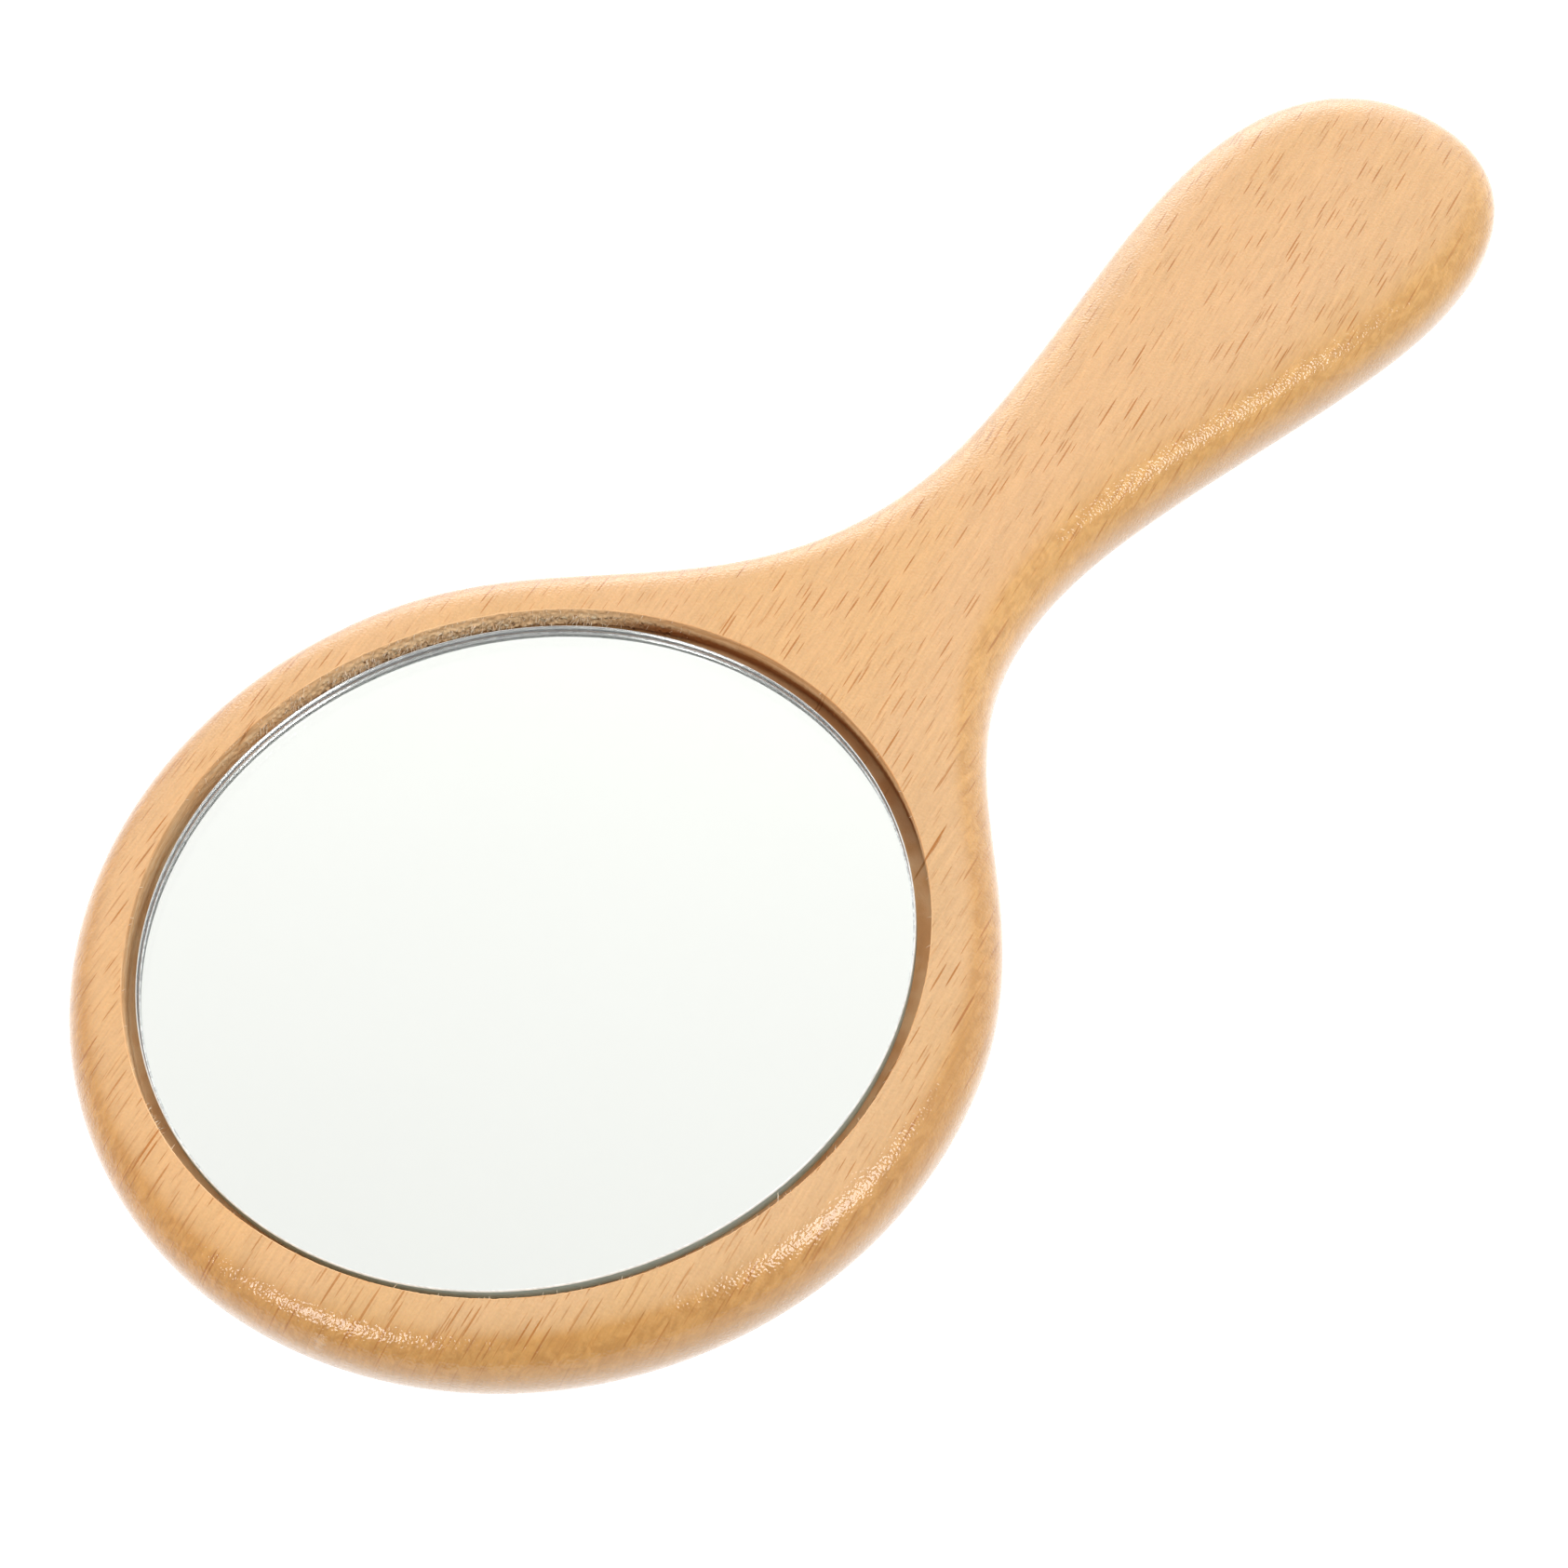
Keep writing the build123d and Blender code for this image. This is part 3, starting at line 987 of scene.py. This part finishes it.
def mirror_coat():
    """Silver seen through the glass; a little warm, because the glass is a little green."""
    graph = new_material("mirror_coat")
    drift = graph.noise(graph.place((30.0, 30.0, 30.0)))
    thin, thick = (0.975, 0.955, 0.950, 1), (0.980, 0.960, 0.955, 1)
    return graph.surface(
        Base_Color=graph.mix(graph.ramp(drift), thin, thick), Metallic=1.0, Roughness=0.0,
    )


# ======================================================================= hidden and stage materials
def backing_paint():
    graph = new_material("backing_paint")
    grain = graph.noise(graph.place((0.5, 0.5, 0.5)), detail=3.0)
    dark, pale = (0.10, 0.11, 0.12, 1), (0.15, 0.16, 0.17, 1)
    return graph.surface(
        Base_Color=graph.mix(grain, dark, pale), Roughness=0.7,
        Normal=graph.bump(grain, 0.3, 0.02 * MM),
    )


def foam():
    """White closed-cell foam."""
    graph = new_material("foam_pad")
    cells = graph.node("TexVoronoi", {"feature": "F1"}, Scale=1.0,
                       Vector=graph.place((0.25, 0.25, 0.25)))
    distance = cells.outputs["Distance"]
    pale, dark = (0.82, 0.82, 0.78, 1), (0.62, 0.62, 0.58, 1)
    return graph.surface(
        Base_Color=graph.mix(graph.ramp(distance, 0.1, 0.8), pale, dark), Roughness=0.8,
        Normal=graph.bump(distance, 0.6, 0.05 * MM),
    )


def pale_floor():
    """White table top, which looks brighter than the light it throws back on the object."""
    graph = new_material("pale_floor")
    mottle = graph.noise(graph.place((60.0, 60.0, 60.0)))
    soft_bounce = graph.node("LightPath").outputs["Is Diffuse Ray"]
    shade = graph.ramp(mottle, to_low=0.70, to_high=0.72)
    shade = graph.math("SUBTRACT", shade, graph.times(soft_bounce, 0.3))
    return graph.surface(
        Base_Color=graph.grey(shade), Roughness=0.7, Emission_Color=WHITE,
        Emission_Strength=graph.straight_ramp(soft_bounce, 0.0, 1.0, 0.75, 0.0),
    )


# ======================================================================= pieces
def add_piece(shell, name, materials, node):
    """Visible piece that takes the place of a CAD node."""
    piece = shell.to_object(name, materials)
    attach(piece, BODY)
    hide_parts(node)


def dress_node(node, material):
    """A CAD node that stays as it is, with its own finish."""
    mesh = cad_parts[node].data
    mesh.materials.clear()
    mesh.materials.append(material)


WOOD_MATERIALS = [lacquered_wood(), raw_wood(), torn_fibres()]
GLASS_MATERIALS = [polished_glass(), ground_edge(), stray_silver(), pale_arris()]

add_piece(wood_shell(), "beech_body", WOOD_MATERIALS, "wood_body")
add_piece(glass_shell(), "glass_disc", GLASS_MATERIALS, "mirror_glass")
add_piece(pad_shell(), "foam_pads", [foam()], "adhesive_pads")
dress_node("silver_film", mirror_coat())
dress_node("backing_paint", backing_paint())


# ======================================================================= floor, light and camera
TARGET = Vector((0.8, 43.7, 0.0)) * MM
CAMERA_AZIMUTH = 50.8         # azimuth 0 looks along +Y
CAMERA_ELEVATION = 54.3
CAMERA_ROLL = -9.25
CAMERA_DISTANCE = 440.9 * MM
CAMERA_LENS = 77.2            # mm, for the sensor width below
SENSOR_WIDTH = 36
NEAR_CLIP = 0.01
FLOOR_REACH = 40.0            # so wide that no view shows its edge
FLOOR_GAP = 0.02 * MM         # between the floor and the wood lying on it
SOFTBOX_DISTANCE = 1.5
DULL_SIDE = (CAMERA_AZIMUTH - 24, 40)        # azimuth and elevation where the studio is dullest
BRIGHT_PATCH = (CAMERA_AZIMUTH + 180, 0)
STUDIO_LEVELS = (1.87, 0.52)                 # far from the dull side, and on it
STUDIO_COSINES = (-0.9, 0.85)
PATCH_LEVELS = (0.0, 2.1)
PATCH_COSINES = (0.88, 1.0)


def bearing(azimuth, elevation):
    """Unit vector from the object towards something seen at this azimuth and elevation."""
    a, e = math.radians(azimuth), math.radians(elevation)
    return Vector((math.sin(a) * math.cos(e), -math.cos(a) * math.cos(e), math.sin(e)))


def add_floor():
    mesh = bpy.data.meshes.new("floor")
    signs = ((-1, -1), (1, -1), (1, 1), (-1, 1))
    corners = [(x * FLOOR_REACH, y * FLOOR_REACH, 0) for x, y in signs]
    mesh.from_pydata(corners, [], [(0, 1, 2, 3)])
    mesh.materials.append(pale_floor())
    floor = bpy.data.objects.new("floor", mesh)
    bpy.context.scene.collection.objects.link(floor)
    floor.location.z = WOOD_LOW.z - FLOOR_GAP


def add_softbox(name, azimuth, elevation, size, power):
    """Round softbox that faces the object."""
    light = bpy.data.lights.new(name, "AREA")
    light.shape = "DISK"
    light.size = size
    light.energy = power
    lamp = bpy.data.objects.new(name, light)
    towards = bearing(azimuth, elevation)
    lamp.location = TARGET + towards * SOFTBOX_DISTANCE
    lamp.rotation_euler = towards.to_track_quat("Z", "Y").to_euler()
    bpy.context.scene.collection.objects.link(lamp)


def add_world():
    """White studio: brighter away from the camera's side, with a bright patch low behind."""
    world = bpy.data.worlds.new("studio")
    bpy.context.scene.world = world
    graph = Graph(world, "OutputWorld")
    view = graph.node("TexCoord").outputs["Generated"]
    dullness = graph.vector_math("DOT_PRODUCT", view, bearing(*DULL_SIDE), "Value")
    nearness = graph.vector_math("DOT_PRODUCT", view, bearing(*BRIGHT_PATCH), "Value")
    level = graph.straight_ramp(dullness, *STUDIO_COSINES, *STUDIO_LEVELS)
    glow = graph.straight_ramp(nearness, *PATCH_COSINES, *PATCH_LEVELS)
    strength = graph.math("ADD", level, glow)
    graph.finish(graph.node("Background", Color=WHITE, Strength=strength))


def add_camera():
    back = bearing(CAMERA_AZIMUTH, CAMERA_ELEVATION)
    azimuth = math.radians(CAMERA_AZIMUTH)
    right = Vector((math.cos(azimuth), math.sin(azimuth), 0))
    up = back.cross(right)
    roll = Matrix.Rotation(math.radians(CAMERA_ROLL), 3, back)
    data = bpy.data.cameras.new("camera")
    data.lens = CAMERA_LENS
    data.sensor_width = SENSOR_WIDTH
    data.clip_start = NEAR_CLIP
    camera = bpy.data.objects.new("camera", data)
    place = Matrix((roll @ right, roll @ up, back)).transposed().to_4x4()
    place.translation = TARGET + back * CAMERA_DISTANCE
    camera.matrix_world = place
    bpy.context.scene.collection.objects.link(camera)
    bpy.context.scene.camera = camera


add_floor()
add_softbox("softbox_right", azimuth=107, elevation=54, size=0.60, power=8.2)
add_softbox("softbox_left", azimuth=-8, elevation=42, size=0.48, power=5.4)
add_world()
add_camera()
bpy.context.scene.view_settings.view_transform = "Standard"
